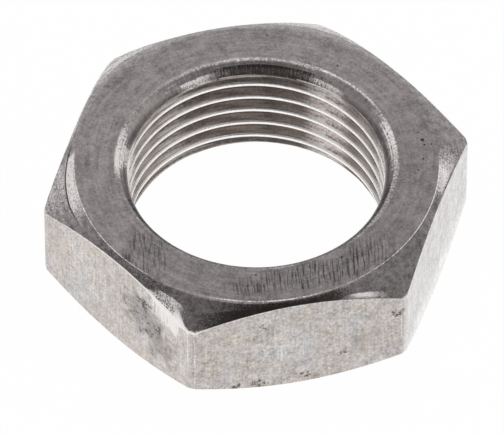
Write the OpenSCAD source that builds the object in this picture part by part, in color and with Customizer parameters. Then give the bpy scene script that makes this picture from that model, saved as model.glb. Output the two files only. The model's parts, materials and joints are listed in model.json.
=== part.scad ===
/* [Hexagon] */
// Width across the flats
across_flats = 35.7; // [34:0.1:50]
// Height from the lower face to the bearing face
nut_height = 11.5; // [8:0.25:20]
// Depth turned off each upright corner
corner_cut = 0.2; // [0.05:0.05:0.8]

/* [Chamfered faces] */
// Distance from the flats in to the edge of the bearing face on top
top_inset = 0.65; // [0.2:0.05:1.5]
// Distance from the flats in to the edge of the lower face
bottom_inset = 0.25; // [0.1:0.05:1.5]
// Slope of the chamfers, in degrees below the face
chamfer_angle = 30; // [15:1:40]

/* [Pipe thread] */
// Outside diameter of the parallel pipe thread
thread_d = 26.44; // [22:0.02:29]
// Threads in an inch of length
threads_per_inch = 14; // [11:1:19]

/* [Rounded mouths] */
// Gap between the outside of the thread and the rim of each mouth
rim_gap = 0.05; // [0:0.01:0.3]
// Depth from the bearing face to the first full crest
top_mouth_depth = 1.9; // [0.8:0.1:2.4]
// Depth from the lower face to the first full crest
lower_mouth_depth = 0.9; // [0.5:0.1:2.4]
// Radius that rounds the side of both mouths
mouth_round = 2.4; // [2:0.1:6]

/* [Hidden] */
inch = 25.4;
// Depth of a rounded 55 degree thread as a share of its pitch
depth_per_pitch = 0.640327;
thread_pitch = inch / threads_per_inch;
thread_r = thread_d / 2;
crest_r = thread_r - depth_per_pitch * thread_pitch;
mouth_r = thread_r + rim_gap;
flat_r = across_flats / 2;
sharp_corner_r = flat_r / cos(30);
corner_r = sharp_corner_r - corner_cut;
// Length that a cutting body stands clear of a face
clear = 1;
round_fn = 120;

// Hexagonal bar with a corner on the X axis
module hexagon_bar() {
    cylinder(r = sharp_corner_r, h = nut_height, $fn = 6);
}

// Turned outside: two faces, a chamfer behind each, and the land left on the corners
module turned_outside() {
    top_r = flat_r - top_inset;
    bottom_r = flat_r - bottom_inset;
    rise = tan(chamfer_angle);
    rotate_extrude($fn = round_fn)
        polygon([
            [0, 0],
            [bottom_r, 0],
            [corner_r, (corner_r - bottom_r) * rise],
            [corner_r, nut_height - (corner_r - top_r) * rise],
            [top_r, nut_height],
            [0, nut_height]
        ]);
}

// Hole at the diameter of the thread's crests
module threaded_hole() {
    translate([0, 0, -clear])
        cylinder(r = crest_r, h = nut_height + 2 * clear, $fn = round_fn);
}

// Rounded mouth below z = 0: an arc from the rim in to the first crest, whose centre
// lies in the wall
module rounded_mouth(depth) {
    width = mouth_r - crest_r;
    chord = norm([width, depth]);
    set_back = sqrt(pow(mouth_round, 2) - pow(chord / 2, 2));
    arc_x = crest_r + width / 2 + set_back * depth / chord;
    arc_z = -depth / 2 - set_back * width / chord;
    rotate_extrude($fn = round_fn)
        difference() {
            translate([0, arc_z])
                square([arc_x, clear - arc_z]);
            translate([arc_x, arc_z])
                circle(r = mouth_round, $fn = round_fn);
        }
}

// One turned piece: chamfered hexagon with a hole and a rounded mouth in each face
module lock_nut() {
    color([0.55, 0.53, 0.52])
        difference() {
            intersection() {
                hexagon_bar();
                turned_outside();
            }
            threaded_hole();
            translate([0, 0, nut_height]) rounded_mouth(top_mouth_depth);
            mirror([0, 0, 1]) rounded_mouth(lower_mouth_depth);
        }
}

lock_nut();
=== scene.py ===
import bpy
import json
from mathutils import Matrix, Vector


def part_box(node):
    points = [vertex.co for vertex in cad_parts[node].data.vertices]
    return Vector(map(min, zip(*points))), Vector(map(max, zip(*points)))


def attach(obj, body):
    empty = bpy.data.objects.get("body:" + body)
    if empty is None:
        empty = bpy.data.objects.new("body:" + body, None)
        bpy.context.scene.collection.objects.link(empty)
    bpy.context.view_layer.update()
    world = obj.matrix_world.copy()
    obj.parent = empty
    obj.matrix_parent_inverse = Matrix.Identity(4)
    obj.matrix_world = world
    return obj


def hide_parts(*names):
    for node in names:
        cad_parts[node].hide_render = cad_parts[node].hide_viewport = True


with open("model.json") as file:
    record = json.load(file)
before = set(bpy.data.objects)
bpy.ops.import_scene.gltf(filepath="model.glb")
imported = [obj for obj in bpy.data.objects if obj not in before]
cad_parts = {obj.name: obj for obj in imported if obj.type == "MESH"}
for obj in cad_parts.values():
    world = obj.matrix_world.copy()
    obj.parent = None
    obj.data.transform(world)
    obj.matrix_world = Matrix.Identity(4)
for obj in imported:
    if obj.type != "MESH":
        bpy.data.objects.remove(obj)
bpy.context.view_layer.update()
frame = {"record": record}

import json
import math

import bpy
import numpy as np
from mathutils import Matrix, Vector

metre = 0.001            # lengths below are in millimetres until a mesh is made

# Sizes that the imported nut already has
lowCorner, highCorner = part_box("lock_nut")
acrossFlats = (highCorner.y - lowCorner.y) / metre
cornerRadius = min(highCorner.x, -lowCorner.x) / metre
nutHeight = highCorner.z / metre
hole = [mount for mount in frame["record"]["mounts"] if mount["name"] == "thread"][0]
crestRadius = hole["dims"]["r_mm"]
wallLow = hole["pos_m"][2] / metre - hole["dims"]["length_mm"] / 2
wallHigh = wallLow + hole["dims"]["length_mm"]


# The turned nut. Bearings are in degrees from +X, anticlockwise seen from above, and a list
# of pairs gives a bearing and the value there.
nut = {
    "columnsPerSide": 68,        # mesh columns in each sixth of the turn
    "edgeReach": 0.2,            # degrees to each side of a corner land's edge with close columns
    "rows": [5, 8, 4, 10, 8, 3, 5, 3],    # mesh rows on each stretch from the upper rim to the lower
    "supportGap": 0.03,          # distance of a stretch's end rows from the roundings beside it
    "roundShare": 0.45,          # share of a stretch that a rounding may take at most
    "bearingRadius": 17.2,       # edge of the bearing face
    "lowerRadius": 17.6,         # edge of the lower face
    "chamferAngle": 30,          # slope of both chamfers, degrees
    "lowerRound": 0.09,          # rounding of the edges round the lower chamfer
    "rimRound": 0.5,             # rounding of the rim of the hole
    "rimSet": 0.16,              # how far that rounding brings the rim in
    "rimDepth": 0.5,             # depth at which the rim hands over to the thread's mesh
    "snap": 0.012,               # thread rows nearer than this to the rim join it
    # rounding of the edge of the bearing face
    "bearingRound": [(0, 0.9), (10, 1.2), (30, 0.35), (60, 1.3), (90, 0.3), (120, 1.3), (150, 0.3),
                     (160, 0.08), (222, 0.06), (228, 0.35), (236, 0.35), (242, 0.08), (350, 0.06)],
    # width and slope of the facet beside that edge, the share of the chamfer that it may
    # take, and the rounding of the valley where it ends
    "facetWidth": [(0, 1.6), (12, 1.4), (30, 0.4), (60, 1.8), (90, 0.4), (120, 1.8), (150, 0.3),
                   (158, 0.3), (164, 0.58), (173, 0.87), (182, 1.0), (190, 0.9), (198, 0.6), (206, 0.3),
                   (240, 0.25), (285, 0.25), (300, 0.3), (334, 0.3), (341, 0.8), (352, 1.1)],
    "facetAngle": [(0, 30), (150, 30), (160, 36), (190, 38), (200, 34), (212, 30), (240, 16),
                   (280, 14), (300, 26), (330, 30), (340, 36), (352, 36)],
    "facetShare": 0.75,
    "facetRound": 0.06,
    # rounding of the upper edges of the flats
    "flatRound": [(0, 0.25), (30, 0.2), (60, 0.5), (90, 0.25), (120, 0.5), (150, 0.25), (176, 0.1),
                  (180, 0.3), (184, 0.1), (223, 0.13), (229, 0.95), (235, 0.95), (238, 0.35),
                  (242, 0.3), (244, 0.1), (282, 0.1), (287, 0.32), (294, 0.32), (297, 0.15),
                  (300, 0.35), (303, 0.1), (350, 0.12)],
    # light lines down the corner lands' edges, rubbed metal and painted highlight, and their width in
    # degrees
    "landLine": [(0, 0.3), (60, 0.3), (180, 0.4), (220, 0.5), (239.5, 0.68), (240.5, 0.52), (260, 0.5),
                 (300, 0.45)],
    "landLineWidth": 0.3,
    # rounding between a corner land and its flats
    "uprightRound": [(5, 0.08), (35, 0.5), (60, 1.3), (120, 1.3), (145, 0.5), (175, 0.08), (350, 0.05)],
}
thread = {
    "diameter": 26.44,           # outside diameter of the parallel pipe thread
    "perInch": 14,
    "halfAngle": 27.5,           # of the rounded 55 degree form
    "crestFlat": 0.3,            # width the drilled hole leaves on each crest
    "crestEdge": 0.04,           # rounding of its edges
    "rootRound": 0.15,
    "crestDepth": 2.47,          # depth of a crest below the bearing face ...
    "crestBearing": 76.0,        # ... at this bearing
    "turns": (-8, 3),            # pitches that are meshed, counted from that crest
    "runOutStart": 1.2,          # depth below the bearing face at which the groove begins
    "lowerRunOut": 0.5,          # its end, above the lower face
    "runOutLength": 0.9,         # height over which it gets its full depth
    "mouthRound": 2.4,           # radius of each rounded mouth
    "mouthGap": 0.05,            # rim beyond the outside of the thread
}
pitch = 25.4 / thread["perInch"]
rootRadius = thread["diameter"] / 2
rimRadius = rootRadius + thread["mouthGap"]
cornerLand = math.pi / 6 - math.acos(acrossFlats / 2 / cornerRadius)    # half the turn of a corner land

# Wear and dirt round the nut, with painted highlights and painted shade: a kind, the places along
# the section that it covers, and its strength by bearing. The rubbed-metal kind also paints
# highlights, the grime kind also paints shade in creases, in the mouth and on the front chamfers.
# Place 1 is the upper rim, 2 the edge of the bearing face, 3 the end of the facet beside it, 4 the
# top edge of a flat and 5 its bottom edge. A place below 0 is a height in millimetres, counted
# from the top of the thread's mesh.
wearAndLightFade = 0.04              # how far each kind reaches past its places, fading out
wearAndLightFadeInMouth = 0.25       # the same for places below 0
wearAndLight = [
    ("bare", 1.03, 1.08, [(12, 0), (20, 0.65), (48, 0.6), (58, 0.3), (66, 0)]),
    ("bare", 0.94, 1.06, [(0, 0.92), (8, 0.85), (16, 0.5), (24, 0.3), (40, 0.25), (60, 0.4), (90, 0.4),
                          (98, 0.45), (112, 0.4), (120, 0.25), (143, 0.3), (150, 0.8), (168, 0.9),
                          (178, 0.3), (240, 0.35), (300, 0.35), (345, 0.6)]),
    ("bare", 0.5, 0.9, [(0, 0.95), (6, 0.8), (13, 0.4), (22, 0), (46, 0), (58, 0.38), (92, 0.38),
                        (100, 0.4), (112, 0.38), (122, 0.3), (140, 0.1), (148, 0.3), (154, 0.95),
                        (166, 0.95), (174, 0.2), (182, 0), (334, 0), (348, 0.6)]),
    ("bare", -0.7, 0.4, [(0, 0.45), (6, 0.3), (14, 0), (112, 0), (120, 0.35), (128, 0), (149, 0),
                         (157, 0.88), (165, 0.9), (174, 0), (334, 0), (348, 0.4)]),
    ("bare", -1.6, -0.1, [(33, 0), (38, 0.75), (50, 0.85), (55, 0), (92, 0), (97, 0.7), (103, 0.86),
                          (110, 0.84), (118, 0)]),
    ("grime", -1.15, 0.6, [(12, 0), (20, 0.1), (40, 0.25), (50, 0.5), (58, 0.85), (66, 0.92), (85, 0.92),
                            (92, 0.7), (98, 0.35), (103, 0)]),
    ("grime", -1.55, -1.15, [(38, 0), (56, 0.5), (64, 0.85), (82, 0.85), (92, 0.5), (100, 0)]),
    ("grime", -2.0, -0.8, [(0, 0.1), (20, 0.3), (60, 0), (100, 0), (122, 0.25), (132, 0.45), (142, 0.35),
                           (150, 0.15), (170, 0.3), (190, 0.5), (340, 0.5)]),
    ("grime", -0.5, 0.9, [(178, 0), (190, 0.6), (230, 0.7), (310, 0.7), (334, 0.5), (340, 0)]),
    ("bare", 1.96, 2.04, [(6, 0), (158, 0), (165, 0.7), (180, 0.9), (195, 0.8), (220, 0.7), (226, 0),
                          (238, 0), (248, 0.5), (268, 0.6), (280, 0.3), (288, 0.4), (302, 0.6),
                          (325, 0.9), (345, 0.9), (352, 0.3)]),
    ("bare", 2.06, 2.94, [(160, 0), (165, 0.72), (183, 0.72), (188, 0.4), (193, 0)]),
    ("bare", 2.06, 3.1, [(0, 0.15), (5, 0), (329, 0), (337, 0.7), (345, 0.76), (350, 0.45)]),
    ("bare", 3.06, 3.9, [(0, 0.22), (6, 0.12), (14, 0), (160, 0), (168, 0.65), (176, 0.6), (184, 0.4),
                         (194, 0.1), (202, 0), (329, 0), (337, 0.65), (348, 0.65), (353, 0.35)]),
    ("bare", 3.25, 4.1, [(6, 0.2), (20, 0.45), (45, 0.6), (66, 0.6), (80, 0.5), (104, 0.5), (125, 0.6),
                         (145, 0.55), (156, 0.4), (162, 0)]),
    ("bare", 2.6, 4.1, [(40, 0), (48, 0.5), (60, 0.65), (72, 0.5), (80, 0), (103, 0), (110, 0.5),
                        (120, 0.62), (132, 0.5), (139, 0)]),
    ("bare", 3.96, 4.04, [(0, 0.3), (60, 0.6), (120, 0.6), (170, 0.5), (186, 0.6), (200, 0.9), (237, 1),
                          (242, 0.7), (256, 0.7), (282, 0.5), (298, 0.2), (345, 0.3)]),
    ("bare", 3.64, 3.95, [(223, 0), (226, 0.5), (228, 1), (233, 1), (236, 0.6), (238, 0)]),
    ("bare", 3.74, 3.95, [(280, 0), (285, 0.6), (288, 1), (291, 1), (295, 0.5), (297, 0)]),
    ("bare", 4.06, 4.25, [(221, 0), (227, 0.6), (235, 0.8), (238, 0)]),
    ("grime", 2.93, 3.07, [(158, 0), (163, 1), (182, 1), (189, 0.5), (197, 0)]),
    ("grime", 3.6, 3.94, [(334, 0.2), (340, 0.5), (352, 0.4), (358, 0)]),
    ("grime", 3.98, 4.01, [(280, 0), (285, 0.6), (297, 0.6), (299, 0)]),
    ("grime", 2.1, 3.94, [(192, 0), (203, 0.46), (222, 0.54), (230, 0.45), (236, 0.2), (242, 0)]),
    ("grime", 2.3, 3.94, [(252, 0), (259, 0.45), (266, 0.85), (281, 0.85), (286, 0.35), (290, 0)]),
    ("grime", 3.08, 3.45, [(238, 0), (247, 0.36), (256, 0.85), (270, 0.85), (286, 0)]),
    ("grime", 3.5, 3.94, [(238, 0), (243, 0.55), (248, 0.85), (256, 1), (274, 1), (281, 0.8),
                          (286, 0.35), (290, 0)]),
    ("grime", 3.96, 4.05, [(222, 0), (227, 0.6), (233, 0.5), (236, 0)]),
]


def around(stops, bearings):
    # value at each angle, straight between the bearings that are given
    places, values = zip(*stops)
    return np.interp(np.degrees(bearings), places, values, period=360)


def wearAndLightAt(kind, place, bearings):
    # how strong one kind of mark in the table is at places along the section, from 0 to 1
    total = np.zeros(np.broadcast(place, bearings).shape)
    for name, low, high, stops in wearAndLight:
        if name == kind:
            outside = np.maximum(low - place, place - high)
            share = np.clip(1 - outside / np.where(place < 0, wearAndLightFadeInMouth, wearAndLightFade), 0, 1)
            total = np.maximum(total, share * around(stops, bearings))
    if kind == "bare":
        # light lines down the corner lands' edges: rubbed metal and painted highlight
        fromEdge = np.abs(np.abs((bearings + math.pi / 6) % (math.pi / 3) - math.pi / 6) - cornerLand)
        line = np.exp(-(np.degrees(fromEdge) / nut["landLineWidth"]) ** 2) * (place > 4) * (place < 5)
        total = np.maximum(total, line * around(nut["landLine"], bearings))
    return total


def threadRadius(fromCrest):
    # radius of the thread's wall at a distance along the axis from the nearest crest
    slope = math.radians(90 - thread["halfAngle"])
    crestHalf = thread["crestFlat"] / 2
    flank = crestRadius + (fromCrest - crestHalf) * math.tan(slope)
    wall = np.clip(flank, crestRadius, rootRadius)
    crestCut = thread["crestEdge"] * math.tan(slope / 2)
    crestX = crestHalf - crestCut
    crestArc = crestRadius + thread["crestEdge"] - np.sqrt(
        np.maximum(thread["crestEdge"] ** 2 - (fromCrest - crestX) ** 2, 0))
    onCrest = (fromCrest > crestX) & (fromCrest < crestHalf + crestCut * math.cos(slope))
    wall = np.where(onCrest, crestArc, wall)
    rootX = crestHalf + (rootRadius - crestRadius) / math.tan(slope)
    rootCut = thread["rootRound"] * math.tan(slope / 2)
    rootArc = rootRadius - thread["rootRound"] + np.sqrt(
        np.maximum(thread["rootRound"] ** 2 - (fromCrest - rootX - rootCut) ** 2, 0))
    inRoot = (fromCrest > rootX - rootCut * math.cos(slope)) & (fromCrest < rootX + rootCut)
    return np.where(inRoot, rootArc, wall)


def mouthRadius(depth, mouthDepth):
    # radius of a rounded mouth at a depth below its face, and nothing below the mouth
    width = rimRadius - nut["rimSet"] - crestRadius
    chord = math.hypot(width, mouthDepth)
    setBack = math.sqrt(thread["mouthRound"] ** 2 - (chord / 2) ** 2)
    arcX = crestRadius + width / 2 + setBack * mouthDepth / chord
    arcDepth = mouthDepth / 2 + setBack * width / chord
    arc = arcX - np.sqrt(np.maximum(thread["mouthRound"] ** 2 - (depth - arcDepth) ** 2, 0))
    return np.where(depth < mouthDepth, arc, 0)


def profileSteps():
    # distances from a crest, up to half a pitch, at which the thread gets a mesh row
    crestHalf = thread["crestFlat"] / 2
    rootX = crestHalf + (rootRadius - crestRadius) * math.tan(math.radians(thread["halfAngle"]))
    edge = thread["crestEdge"]
    crest = [0, crestHalf - edge, crestHalf - edge / 3, crestHalf + edge / 4, crestHalf + edge]
    flank = list(np.linspace(crestHalf + edge, rootX - edge, 4)[1:-1])
    root = list(np.linspace(rootX - edge, pitch / 2, 4))
    return np.array(crest + flank + root)


def outerAngles():
    # column angles outside: close together where a corner land meets its flats
    half = nut["columnsPerSide"] // 2
    land = cornerLand
    reach = math.radians(nut["edgeReach"])
    inLand = np.linspace(0, land - reach, 3)
    onEdge = np.linspace(land - reach, land + reach, 7)[1:]
    count = half - len(inLand) - len(onEdge) + 1
    spread = (np.arange(1, count + 1) / count) ** 1.5
    onFlat = land + reach + (math.pi / 6 - land - reach) * spread
    side = np.concatenate([inLand, onEdge, onFlat])
    sector = np.concatenate([side, math.pi / 3 - side[-2:0:-1]])
    return np.concatenate([sector + turn * math.pi / 3 for turn in range(6)])


def outlineRadius(bearings):
    # radius of the hexagon with its turned-off and worn corners
    fromCorner = np.abs((bearings + math.pi / 6) % (math.pi / 3) - math.pi / 6)
    flat = acrossFlats / 2 / np.cos(math.pi / 6 - fromCorner)
    rounding = around(nut["uprightRound"], bearings)
    gap = np.abs(flat - cornerRadius)
    blend = np.maximum(rounding - gap, 0) ** 2 / (4 * rounding)
    return np.minimum(flat, cornerRadius) - blend


def sectionCorners(bearings, rimTop, rimLow):
    # corners of the section at each bearing, from the upper rim round the outside to the lower
    side = outlineRadius(bearings)
    rise = math.tan(math.radians(nut["chamferAngle"]))
    edge = nut["bearingRadius"]
    room = side - edge
    width = np.minimum(around(nut["facetWidth"], bearings), nut["facetShare"] * room)
    drop = width * np.tan(np.radians(around(nut["facetAngle"], bearings)))
    flatTop = nutHeight - room * rise
    rim = rimRadius - nut["rimSet"]
    levels = [
        (rimTop, nutHeight - nut["rimDepth"]),
        (rim, nutHeight),
        (edge, nutHeight),
        (edge + width, nutHeight - drop),
        (side, flatTop),
        (side, (side - nut["lowerRadius"]) * rise),
        (nut["lowerRadius"], 0),
        (rim, 0),
        (rimLow, nut["rimDepth"]),
    ]
    columns = np.ones(len(bearings))
    return [np.stack([r * columns, z * columns], 1) for r, z in levels]


def roundedSection(corners, roundings):
    # rows of points along a section whose inner corners are rounded, one column per bearing.
    # Each row has a place: a rounding lies within 0.08 of its corner's number, and the rows of
    # the stretch before it reach from 0.9 to 0.1 below that number.
    points = [corners[0]]
    places = [0.0]
    start = corners[0]
    for index in range(1, len(corners)):
        here = corners[index]
        along = here - corners[index - 1]
        length = np.linalg.norm(along, axis=1)
        cut = np.zeros(len(here))
        if index < len(corners) - 1:
            leave = corners[index + 1] - here
            room = np.minimum(length, np.linalg.norm(leave, axis=1))
            cut = np.minimum(roundings[index - 1], nut["roundShare"] * room)
        end = here - along / length[:, None] * cut[:, None]
        span = np.linalg.norm(end - start, axis=1)[:, None]
        support = np.minimum(nut["supportGap"] / np.maximum(span, 1e-6), 0.2)
        count = nut["rows"][index - 1]
        for step in range(count + 1):
            points.append(start + (end - start) * (support + (1 - 2 * support) * step / count))
            places.append(index - 0.9 + 0.8 * step / count)
        points.append(end)
        places.append(index - 0.08)
        if index == len(corners) - 1:
            return points, places
        leave = here + leave / np.linalg.norm(leave, axis=1)[:, None] * cut[:, None]
        for step in (0.25, 0.5, 0.75, 1):
            points.append(end * (1 - step) ** 2 + here * 2 * step * (1 - step) + leave * step ** 2)
            places.append(index - 0.08 + 0.16 * step)
        start = leave


def threadRows(bearings):
    # heights and radii of the thread's rows, which climb with the helix and stop at the rims
    steps = profileSteps() / pitch
    phases = np.concatenate([steps, 1 - steps[-2:0:-1]])
    rows = (np.arange(*thread["turns"])[:, None] + phases[None, :]).ravel()
    lead = pitch * (bearings - math.radians(thread["crestBearing"])) / (2 * math.pi)
    crestHeight = nutHeight - thread["crestDepth"] + lead
    height = crestHeight[None, :] + rows[:, None] * pitch
    low = nut["rimDepth"]
    high = nutHeight - nut["rimDepth"]
    height = np.where(height < low + nut["snap"], low, height)
    height = np.where(height > high - nut["snap"], high, height)
    lap = (height - crestHeight[None, :]) / pitch
    wall = threadRadius(np.abs(lap - np.round(lap)) * pitch)
    fromEnd = np.minimum(nutHeight - height - thread["runOutStart"], height - thread["lowerRunOut"])
    share = np.clip(fromEnd / thread["runOutLength"], 0, 1)
    wall = np.minimum(wall, crestRadius + (rootRadius - crestRadius) * share)
    upper = mouthRadius(nutHeight - height, nutHeight - wallHigh)
    lower = mouthRadius(height, wallLow)
    inMouth = np.maximum(upper, lower) > wall
    wall = np.maximum(wall, np.maximum(upper, lower))
    return height, wall, inMouth, len(phases), low, high


def addThread(shape, bearings):
    # the threaded wall of the hole. The result is its two rims, which the outside joins.
    height, wall, inMouth, perPitch, low, high = threadRows(bearings)
    vertices = shape["vertices"]
    rows, columns = height.shape
    index = np.zeros(height.shape, int)
    lowRim = []
    highRim = []
    for column in range(columns):
        turn = (math.cos(bearings[column]), math.sin(bearings[column]))
        rims = {}
        for row in range(rows):
            z = height[row, column]
            if z in rims:
                index[row, column] = rims[z]
                continue
            if z in (low, high):
                rims[z] = len(vertices)
            r = wall[row, column]
            index[row, column] = len(vertices)
            vertices.append((r * turn[0], r * turn[1], z))
            shape["places"].append(z - high)
        lowRim.append(rims[low])
        highRim.append(rims[high])
    turned = dict(zip(index.ravel(), inMouth.ravel()))
    for row in range(rows - 1):
        for column in range(columns):
            if column < columns - 1:
                quad = [index[row, column], index[row + 1, column],
                        index[row + 1, column + 1], index[row, column + 1]]
            elif row + perPitch + 1 < rows:
                # one turn on, the helix has climbed a pitch
                quad = [index[row, column], index[row + 1, column],
                        index[row + 1 + perPitch, 0], index[row + perPitch, 0]]
            else:
                continue
            corners = list(dict.fromkeys(int(corner) for corner in quad))
            if len(corners) > 2:
                shape["faces"].append(corners)
                inTurned = all(turned[corner] for corner in corners)
                shape["zones"].append("turned" if inTurned else "thread")
    return lowRim, highRim


def addOutside(shape, inner, outer, lowRim, highRim):
    # both faces, the chamfers and the flats, from the upper rim round to the lower. The columns
    # turn from the thread's bearings to those of the corner lands on their way out.
    vertices = shape["vertices"]
    rimTop = np.hypot(*np.array([vertices[i][:2] for i in highRim]).T)
    rimLow = np.hypot(*np.array([vertices[i][:2] for i in lowRim]).T)
    corners = sectionCorners(outer, rimTop, rimLow)
    roundings = [nut["rimRound"], around(nut["bearingRound"], outer), nut["facetRound"],
                 around(nut["flatRound"], outer), nut["lowerRound"], nut["lowerRound"], nut["rimRound"]]
    points, places = roundedSection(corners, roundings)
    columns = len(outer)
    grid = [highRim]
    for ring, place in zip(points[1:-1], places[1:-1]):
        mix = np.clip((ring[:, 0] - rimRadius) / (nut["bearingRadius"] - rimRadius), 0, 1)
        bearing = inner + (outer - inner) * mix
        first = len(vertices)
        for angle, (r, z) in zip(bearing, ring):
            vertices.append((r * math.cos(angle), r * math.sin(angle), z))
            shape["places"].append(place)
        grid.append(list(range(first, first + columns)))
    grid.append(lowRim)
    for row in range(len(grid) - 1):
        zone = "flat" if 4 < places[row + 1] <= 5 else "turned"
        for column in range(columns):
            after = (column + 1) % columns
            shape["faces"].append([grid[row][column], grid[row + 1][column],
                                   grid[row + 1][after], grid[row][after]])
            shape["zones"].append(zone)


def buildNut():
    columns = nut["columnsPerSide"] * 6
    inner = np.arange(columns) * 2 * math.pi / columns
    shape = {"vertices": [], "places": [], "faces": [], "zones": []}
    lowRim, highRim = addThread(shape, inner)
    addOutside(shape, inner, outerAngles(), lowRim, highRim)
    return shape


# Shader maths written as Python
class Value:
    # a node's output that works in arithmetic with numbers and with other outputs
    def __init__(self, finish, socket):
        self.finish = finish
        self.socket = socket

    def math(self, operation, first, second):
        return self.finish.node("Math", {"operation": operation}, {0: first, 1: second})

    def __add__(self, other):
        return self.math("ADD", self, other)

    def __radd__(self, other):
        return self.math("ADD", other, self)

    def __sub__(self, other):
        return self.math("SUBTRACT", self, other)

    def __rsub__(self, other):
        return self.math("SUBTRACT", other, self)

    def __mul__(self, other):
        return self.math("MULTIPLY", self, other)

    def __rmul__(self, other):
        return self.math("MULTIPLY", other, self)

    def __truediv__(self, other):
        return self.math("DIVIDE", self, other)

    def __pow__(self, other):
        return self.math("POWER", self, other)


class Finish:
    # one material (or the world) and its nodes
    def __init__(self, name, owner=None):
        self.owner = owner or bpy.data.materials.new(name)
        self.owner.use_nodes = True
        self.tree = self.owner.node_tree
        self.tree.nodes.clear()

    def node(self, kind, settings, inputs, output=0):
        made = self.tree.nodes.new("ShaderNode" + kind)
        for name, value in settings.items():
            setattr(made, name, value)
        for name, value in inputs.items():
            if isinstance(value, Value):
                self.tree.links.new(value.socket, made.inputs[name])
            else:
                made.inputs[name].default_value = value
        return Value(self, made.outputs[output] if made.outputs else None)

    def mix(self, mask, first, second):
        # colour mix: first where mask is 0, second where it is 1
        settings = {"data_type": "RGBA"}
        full = [value if isinstance(value, Value) else (*value, 1) for value in (first, second)]
        return self.node("Mix", settings, {0: mask, 6: full[0], 7: full[1]}, 2)

    def scale(self, color, factor):
        return self.node("VectorMath", {"operation": "SCALE"}, {0: color, "Scale": factor})

    def fade(self, value, low, high):
        # 0 below low and 1 above high, smooth between
        settings = {"interpolation_type": "SMOOTHSTEP"}
        return self.node("MapRange", settings, {"Value": value, "From Min": low, "From Max": high})

    def noise(self, vector, scale, detail=2.0, rough=0.5):
        inputs = {"Vector": vector, "Scale": scale, "Detail": detail, "Roughness": rough}
        return self.node("TexNoise", {"normalize": True}, inputs)

    def uneven(self, vector, scale, detail=3.0, rough=0.65):
        # noise stretched to swing from about -1 to 1
        return self.fade(self.noise(vector, scale, detail, rough), 0.3, 0.7) * 2 - 1

    def combine(self, x, y, z):
        return self.node("CombineXYZ", {}, {0: x, 1: y, 2: z})

    def mark(self, name):
        # wear or dirt kept with the mesh
        return self.node("Attribute", {"attribute_name": name}, {}, 2)

    def spot(self, place, centre, radius, ragged=0):
        # 1 round a place on the nut, fading out at a radius
        away = self.node("VectorMath", {"operation": "DISTANCE"}, {0: place, 1: centre}, 1)
        return 1 - self.fade(away / radius + ragged, 0.5, 1.2)

    def places(self):
        # position on the nut in millimetres
        place = self.node("TexCoord", {}, {}, 3)
        place = self.node("VectorMath", {"operation": "SCALE"}, {0: place, "Scale": 1 / metre})
        x, y, z = [self.node("SeparateXYZ", {}, {0: place}, part) for part in range(3)]
        return place, x, y, z

    def metal(self, color, roughness, bumps):
        # bumps are pairs of a height map and its depth in millimetres
        normal = None
        for height, depth in bumps:
            inputs = {"Height": height, "Distance": depth * metre, "Strength": 1.0}
            if normal:
                inputs["Normal"] = normal
            normal = self.node("Bump", {}, inputs)
        inputs = {"Base Color": color, "Metallic": 1.0, "Roughness": roughness, "Normal": normal}
        surface = self.node("BsdfPrincipled", {}, inputs)
        self.node("OutputMaterial", {}, {"Surface": surface})
        return self.owner


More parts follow.
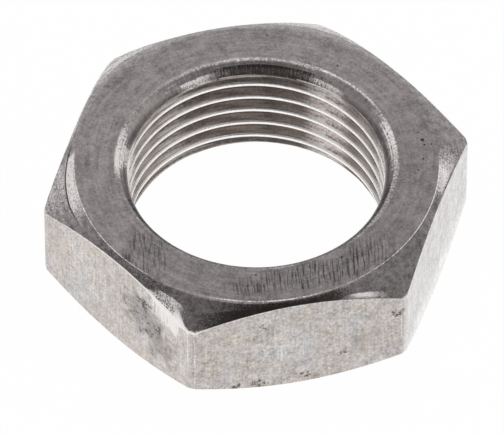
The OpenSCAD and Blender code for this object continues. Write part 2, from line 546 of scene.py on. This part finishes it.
steel = {
    "dull": (0.315, 0.288, 0.286),       # turned faces under their grey film
    "bare": (0.78, 0.74, 0.73),          # where an edge or a tool has rubbed the film off, and painted highlights
    "bright": (1.0, 0.965, 0.955),       # burnished metal, painted near white as a highlight
    # grime, and painted shade in creases, in the mouth and on the front chamfers
    "grime": (0.042, 0.032, 0.029),
    "worn": (0.90, 0.87, 0.85),          # rubbed edges of the flats, with painted highlights along them
    "flatWarm": (0.635, 0.577, 0.532),   # the flats swing between these two
    "flatGrey": (0.59, 0.56, 0.55),
    "flatCool": (0.585, 0.58, 0.575),    # the last of the flats, and some spots
    "crest": (0.97, 0.94, 0.925),        # crests of the thread, painted near white as a highlight
    "flank": (0.375, 0.335, 0.312),      # grooves of the thread
    "sheen": (0.95, 0.90, 0.89),         # painted highlight where the grooves shine
    "dullRough": 0.36,
    "bareRough": 0.24,
    "brightRough": 0.7,
    "flatRough": 0.42,
    "threadRough": 0.22,
    # depths of the relief in millimetres
    "ringDepth": 0.002,
    "speckDepth": 0.0035,
    "drawnDepth": 0.006,
    "grainDepth": 0.006,
    "lineDepth": 0.006,
    "fineDepth": 0.002,
    # strength of the mottling on the bearing face, then what the chamfers and the mouths add
    "grainShares": (0.22, 0.06, -0.16),
    "patchShares": (0.14, 0.1, -0.12),
    "dotShares": (0.12, 0.35, -0.3),
    # painted shade: the turned faces are darkest at the front right: the level there, and the rest
    "frontLevel": (0.79, 0.21),
    # scored areas of the bearing face: middle x and y, reach in x and y, strength
    "scored": [(2.2, -14.7, 8.8, 1.9, 0.66), (-12.7, -9.2, 2.6, 3.2, 0.6), (8.2, -12.9, 3.0, 2.0, 0.5)],
    "scoreLean": -0.15,                  # turn of the scored lines from the Y axis
    # pits in the bearing face: x, y and radius, and how dark they are
    "pits": [(15.89, -0.6, 0.2), (15.93, -1.26, 0.13), (15.43, -2.95, 0.12), (14.66, -4.19, 0.1),
             (15.7, 0.4, 0.1), (16.6, -1.3, 0.1), (-3.1, -13.6, 0.12), (5.2, -13.2, 0.12),
             (8.8, -16.6, 0.14), (10.2, 10.3, 0.12), (4.5, 15.6, 0.1)],
    "pitDark": 0.85,
    # painted light and shade: how much lighter or darker two of the flats are, by bearing
    "flatShares": [(-90, -0.11), (-30, 0.22)],
    "coolFlat": -30,                     # bearing of the cool flat, which is painted lighter at its foot
    "footShare": 0.3,
    # stains on the flats: a place, a radius and a strength, negative where it is lighter
    "stains": [((-13.7, -12.0, 6.8), 2.8, 0.4), ((-12.4, -14.2, 4.4), 2.4, 0.33),
               ((-18.0, -4.4, 7.6), 3.0, -0.13), ((-16.9, -6.4, 4.4), 1.6, -0.1),
               ((-1.5, -17.9, 5.5), 2.4, -0.12), ((6.5, -17.9, 4.5), 1.8, 0.1)],
    # cool spots on the flats: a place and a radius
    "cooler": [((-0.6, -17.9, 5.2), 3.4), ((5.0, -17.9, 7.0), 2.0), ((-18.2, -4.6, 3.2), 2.6)],
    # where the flats are pitted: a place and a radius
    "pitted": [((0.7, -17.9, 1.2), 0.6), ((-3.6, -17.9, 0.9), 0.8), ((-6.0, -17.9, 0.9), 0.6),
               ((-13.4, -12.4, 8.6), 0.7), ((-12.6, -13.9, 6.4), 0.5), ((4.4, -17.9, 3.4), 0.5),
               ((-3.3, -17.9, 9.0), 0.5), ((9.6, -17.9, 7.5), 0.7)],
    # painted highlights where the grooves shine: bearing, half width in degrees and share
    "sheens": [(45, 13, 0.85), (164, 20, 1.0), (118, 10, 0.3), (0, 16, 0.5)],
    "crestBand": (0.1, 0.2),             # heights over the crests between which their painted highlight ends
    "crestWiden": 0.008,                 # how much wider that is for each millimetre further down
    "entry": (9.3, 9.9),                 # heights over which the crests' painted highlight fades upwards ...
    "entryShare": 0.7,                   # ... and how much of it fades
}


def turnedFinish():
    finish = Finish("turnedSteel")
    place, x, y, z = finish.places()
    radius = (x * x + y * y) ** 0.5
    aroundX = x / radius
    aroundY = y / radius
    # the rubbed-metal marks also paint highlights, the grime marks also paint shade
    bare = finish.mark("bare")
    grime = finish.mark("grime")
    grain = finish.uneven(place, 4.5, 5.0, 0.75)
    speck = finish.uneven(place, 7.0, 2.0)
    patch = finish.uneven(place, 1.6)
    cloud = finish.uneven(place, 0.5)
    rings = finish.uneven(finish.combine(aroundX * 3, aroundY * 3, (radius - z) * 2.8), 1.0)
    streak = finish.uneven(finish.combine(aroundX * 80, aroundY * 80, z * 1.1), 1.0)
    inMouth = 1 - finish.fade(radius, rimRadius - 0.3, rimRadius)
    onFace = finish.fade(z, nutHeight - 0.05, nutHeight - 0.02) * (1 - inMouth)
    offFace = 1 - onFace

    def byArea(shares):
        return shares[0] + shares[1] * offFace + shares[2] * inMouth

    level = 1 + grain * byArea(steel["grainShares"]) + patch * byArea(steel["patchShares"])
    level = level + cloud * 0.12
    level = level + rings * 0.13 + streak * inMouth * 0.1
    # painted shade: darker towards the front right
    least, rest = steel["frontLevel"]
    level = level * (least + rest * finish.fade(y - x * 0.35, -19, 12))
    dots = finish.fade(finish.noise(place, 3.4, 3.0, 0.7), 0.6, 0.68)
    level = level * (1 - dots * byArea(steel["dotShares"]))
    lean = steel["scoreLean"]
    lines = finish.combine((x + y * lean) * 5.5, (y - x * lean) * 0.4, 0)
    lines = finish.fade(finish.noise(lines, 1.0, 3.0, 0.6), 0.46, 0.62)
    for middleX, middleY, reachX, reachY, strength in steel["scored"]:
        away = ((x - middleX) / reachX) ** 2 + ((y - middleY) / reachY) ** 2
        area = (1 - finish.fade(away + cloud * 0.3, 0.2, 1.2)) * onFace
        level = level * (1 - lines * area * strength)
    for pitX, pitY, pitRadius in steel["pits"]:
        pit = finish.spot(place, (pitX, pitY, nutHeight), pitRadius)
        level = level * (1 - pit * steel["pitDark"])
    dull = finish.scale(steel["dull"], level)
    mixing = bare * (1.12 - bare)
    ragged = speck * 0.7 + grain * 0.5 + streak * inMouth * 0.6
    rubbedAndGlint = finish.fade(bare + ragged * mixing + rings * 0.1, 0.3, 0.85)
    color = finish.mix(rubbedAndGlint, dull, steel["bare"])
    # grime, and painted shade in creases, in the mouth and on the front chamfers
    dirtAndShade = finish.fade(grime + (streak * inMouth * 1.5 + speck) * grime * (1.15 - grime), 0.15, 0.95)
    # painted highlight: the most rubbed places are raised to near white
    bright = finish.fade(bare + (speck + grain) * 0.15, 0.78, 0.98)
    color = finish.mix(bright, color, steel["bright"])
    color = finish.mix(dirtAndShade * 0.9, color, steel["grime"])
    roughness = steel["dullRough"] - rubbedAndGlint * (steel["dullRough"] - steel["bareRough"]) + cloud * 0.05
    roughness = roughness + bright * (steel["brightRough"] - steel["bareRough"])
    return finish.metal(color, roughness, [(rings, steel["ringDepth"]), (speck, steel["speckDepth"])])


def facingFlat(finish, x, y, bearing):
    # 1 on the flat that faces a bearing
    facing = x * math.cos(math.radians(bearing)) + y * math.sin(math.radians(bearing))
    return finish.fade(facing, acrossFlats / 2 - 0.3, acrossFlats / 2 - 0.05)


def flatFinish():
    finish = Finish("drawnFlats")
    place, x, y, z = finish.places()
    bare = finish.mark("bare")
    cloud = finish.uneven(place, 0.35)
    patch = finish.uneven(place, 1.1, 4.0, 0.7)
    grain = finish.uneven(place, 4.4, 6.0, 0.8)
    drawn = finish.uneven(finish.combine(x * 4.6, y * 4.6, z * 0.3), 1.0)
    shade = finish.fade(cloud + patch * 0.3, -0.8, 0.8)
    level = 1 + cloud * 0.08 + patch * 0.15 + grain * 0.26 + drawn * 0.09
    holes = finish.noise(place, 3.0, 5.0, 0.75)
    low = 1 - finish.fade(z, 0.4, 2.2)
    dark = finish.fade(holes, 0.58, 0.66) * (0.25 + low * 0.35)
    for centre, reach, strength in steel["stains"]:
        stain = finish.spot(place, centre, reach, patch * 0.3)
        level = level * (1 - stain * strength * (0.65 + 0.9 * grain))
        dark = dark + finish.fade(holes, 0.51, 0.6) * stain * abs(strength) * 1.5
    for centre, reach in steel["pitted"]:
        dark = dark + finish.fade(holes, 0.46, 0.54) * finish.spot(place, centre, reach, patch * 0.4)
    # painted light and shade: one flat darker, the cool flat lighter and lighter still at its foot
    for bearing, share in steel["flatShares"]:
        level = level + facingFlat(finish, x, y, bearing) * share
    coolFlat = facingFlat(finish, x, y, steel["coolFlat"])
    level = level + coolFlat * steel["footShare"] * (1 - finish.fade(z, 0.5, 4))
    tint = finish.mix(shade, steel["flatWarm"], steel["flatGrey"])
    for centre, reach in steel["cooler"]:
        tint = finish.mix(finish.spot(place, centre, reach, patch * 0.5) * 0.6, tint, steel["flatCool"])
    tint = finish.mix(coolFlat * 0.8, tint, steel["flatCool"])
    level = level * (1 - finish.fade(dark, 0.05, 0.9) * 0.8)
    color = finish.scale(tint, level)
    # rubbed edges of the flats, with painted highlights along them
    rubbedAndGlint = finish.fade(bare + (grain * 0.5 + drawn * 0.6) * bare * (1.2 - bare), 0.3, 0.8)
    color = finish.mix(rubbedAndGlint, color, steel["worn"])
    roughness = steel["flatRough"] + cloud * 0.06 + grain * 0.06
    return finish.metal(color, roughness, [(drawn, steel["drawnDepth"]), (grain, steel["grainDepth"])])


def threadFinish():
    finish = Finish("cutThread")
    place, x, y, z = finish.places()
    radius = (x * x + y * y) ** 0.5
    turn = finish.node("Math", {"operation": "ARCTAN2"}, {0: y, 1: x})
    phase = z * (2 * math.pi / pitch) - turn
    across = [finish.node("Math", {"operation": name}, {0: phase}) for name in ("SINE", "COSINE")]
    aroundX = x / radius
    aroundY = y / radius
    # tool lines run with the helix: a point's place across the groove and round the hole
    vector = finish.combine(across[0] * 2.4, across[1] * 2.4, aroundX * 4)
    inputs = {"Vector": vector, "W": aroundY * 4, "Scale": 1.0, "Detail": 3.0, "Roughness": 0.65}
    lines = finish.node("TexNoise", {"noise_dimensions": "4D", "normalize": True}, inputs)
    lines = finish.fade(lines, 0.3, 0.7) * 2 - 1
    speck = finish.uneven(place, 4.0)
    # painted highlight along the crests, fading out near the top
    low, high = steel["crestBand"]
    inGroove = finish.fade(radius + z * steel["crestWiden"], crestRadius + low, crestRadius + high)
    inEntry = finish.fade(z, *steel["entry"]) * steel["entryShare"]
    inGroove = finish.node("Math", {"operation": "MAXIMUM"}, {0: inGroove, 1: inEntry})
    flank = finish.scale(steel["flank"], 1 + lines * 0.45 + speck * 0.15)
    # painted highlights on the grooves
    for bearing, reach, share in steel["sheens"]:
        facing = aroundX * math.cos(math.radians(bearing)) + aroundY * math.sin(math.radians(bearing))
        sheen = finish.fade(facing, math.cos(math.radians(reach)), 1) * (0.8 + lines * 0.6 + speck * 0.4)
        flank = finish.mix(sheen * share, flank, steel["sheen"])
    color = finish.mix(inGroove, finish.scale(steel["crest"], 1 + speck * 0.06), flank)
    roughness = steel["threadRough"] + speck * 0.05
    return finish.metal(color, roughness, [(lines, steel["lineDepth"]), (speck, steel["fineDepth"])])


def makeNut():
    shape = buildNut()
    vertices = shape["vertices"]
    faces = shape["faces"]
    mesh = bpy.data.meshes.new("lockNut")
    mesh.from_pydata([(x * metre, y * metre, z * metre) for x, y, z in vertices], [], faces)
    mesh.update()
    bearings = np.arctan2([point[1] for point in vertices], [point[0] for point in vertices])
    for kind in ("bare", "grime"):
        amounts = mesh.attributes.new(kind, "FLOAT", "POINT")
        amounts.data.foreach_set("value", wearAndLightAt(kind, np.array(shape["places"]), bearings))
    materials = {"turned": turnedFinish(), "flat": flatFinish(), "thread": threadFinish()}
    slots = list(materials)
    for material in materials.values():
        mesh.materials.append(material)
    for polygon, zone in zip(mesh.polygons, shape["zones"]):
        polygon.material_index = slots.index(zone)
        polygon.use_smooth = True
    piece = bpy.data.objects.new("lockNut", mesh)
    bpy.context.scene.collection.objects.link(piece)
    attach(piece, "root")
    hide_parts("lock_nut")
    print("nut:", len(vertices), "points,", sum(len(face) - 2 for face in faces), "triangles")


# The studio
studio = {
    "floorRadius": 700.0,
    "floorSides": 96,
    "floorDrop": 0.02,           # gap under the nut
    "floorColor": (0.95, 0.95, 0.95),
    "floorRough": 0.9,
    "floorGlow": 0.985,          # share of plain white that the camera and the metal see in the floor
    "wallLevel": 1.0,            # brightness of the room at the horizon, 1 is white
    "ceilingLevel": 0.62,
    "ceilingFade": (0.2, 0.65),  # rise, 0 at the horizon and 1 overhead, over which it takes over
    "darkSide": (-103, 52),      # bearing and height of the room's dark part
    "darkLevel": 0.18,
    "darkFade": (0.78, 0.93),    # nearness to it, 1 at its middle, over which it takes over
    "lamps": [                   # name, bearing and height in degrees, distance, size, brightness
        ("topPanel", 60, 76, 500, 260, 1.3),
    ],
}


def direction(bearing, rise):
    turn = math.radians(bearing)
    lift = math.radians(rise)
    return Vector((math.cos(turn) * math.cos(lift), math.sin(turn) * math.cos(lift), math.sin(lift)))


def makeWorld():
    world = bpy.data.worlds.new("studio")
    bpy.context.scene.world = world
    finish = Finish("studio", world)
    heading = finish.node("TexCoord", {}, {}, 0)
    up = finish.node("SeparateXYZ", {}, {0: heading}, 2)
    inputs = {0: heading, 1: direction(*studio["darkSide"])}
    near = finish.node("VectorMath", {"operation": "DOT_PRODUCT"}, inputs, 1)
    sees = finish.node("LightPath", {}, {}, 0)
    # what the camera sees behind the floor is plain white
    levels = [studio["wallLevel"], studio["ceilingLevel"], studio["darkLevel"], 1.0]
    masks = [finish.fade(up, *studio["ceilingFade"]), finish.fade(near, *studio["darkFade"]), sees]
    lights = [finish.node("Background", {}, {"Color": (1, 1, 1, 1), "Strength": level}) for level in levels]
    room = lights[0]
    for mask, light in zip(masks, lights[1:]):
        room = finish.node("MixShader", {}, {0: mask, 1: room, 2: light})
    finish.node("OutputWorld", {}, {"Surface": room})


def makeFloor():
    mesh = bpy.data.meshes.new("floor")
    count = studio["floorSides"]
    turns = [2 * math.pi * i / count for i in range(count)]
    radius = studio["floorRadius"] * metre
    level = -studio["floorDrop"] * metre
    ring = [(radius * math.cos(turn), radius * math.sin(turn), level) for turn in turns]
    mesh.from_pydata(ring, [], [list(range(count))])
    finish = Finish("floor")
    inputs = {"Base Color": (*studio["floorColor"], 1), "Roughness": studio["floorRough"]}
    paint = finish.node("BsdfPrincipled", {}, inputs)
    glow = finish.node("Emission", {}, {"Color": (1, 1, 1, 1), "Strength": 1.0})
    # camera, glossy and transmission rays
    path = [finish.node("LightPath", {}, {}, output) for output in (0, 3, 6)]
    seen = finish.node("Math", {"operation": "MINIMUM"}, {0: path[0] + path[1] + path[2], 1: 1.0})
    both = finish.node("MixShader", {}, {0: seen * studio["floorGlow"], 1: paint, 2: glow})
    finish.node("OutputMaterial", {}, {"Surface": both})
    mesh.materials.append(finish.owner)
    floor = bpy.data.objects.new("floor", mesh)
    bpy.context.scene.collection.objects.link(floor)


def makeLamps():
    for name, bearing, rise, distance, size, brightness in studio["lamps"]:
        light = bpy.data.lights.new(name, "AREA")
        light.shape = "SQUARE"
        light.size = size * metre
        light.energy = brightness * math.pi * light.size ** 2
        lamp = bpy.data.objects.new(name, light)
        lamp.location = direction(bearing, rise) * distance * metre
        lamp.rotation_euler = direction(bearing, rise).to_track_quat("Z", "Y").to_euler()
        bpy.context.scene.collection.objects.link(lamp)


camera = {
    "imageWidth": 504, "imageHeight": 436,
    "azimuth": -12.6, "elevation": 48.9,
    "distance": 864.0,
    "scale": 10.57,              # pixels to a millimetre at the nut's middle
    "nutPixel": (256.5, 202.9),  # where the nut's middle stands in the picture
    "sensor": 36.0,
}


def makeCamera():
    data = bpy.data.cameras.new("camera")
    data.sensor_fit = "HORIZONTAL"
    data.sensor_width = camera["sensor"]
    data.lens = camera["scale"] * camera["distance"] / camera["imageWidth"] * camera["sensor"]
    data.clip_start = 0.01
    data.clip_end = 5
    back = direction(camera["azimuth"] - 90, camera["elevation"])
    right = Vector((0, 0, 1)).cross(back).normalized()
    up = back.cross(right)
    offX = (camera["imageWidth"] / 2 - camera["nutPixel"][0]) / camera["scale"]
    offY = (camera["nutPixel"][1] - camera["imageHeight"] / 2) / camera["scale"]
    middle = Vector((0, 0, nutHeight / 2)) + right * offX + up * offY
    place = middle + back * camera["distance"]
    matrix = Matrix((right, up, back)).transposed().to_4x4()
    matrix.translation = place * metre
    item = bpy.data.objects.new("camera", data)
    item.matrix_world = matrix
    bpy.context.scene.collection.objects.link(item)
    bpy.context.scene.camera = item


makeCamera()
print("camera set")
makeNut()
makeFloor()
makeLamps()
makeWorld()
print("studio set")
bpy.context.scene.view_settings.view_transform = "Standard"
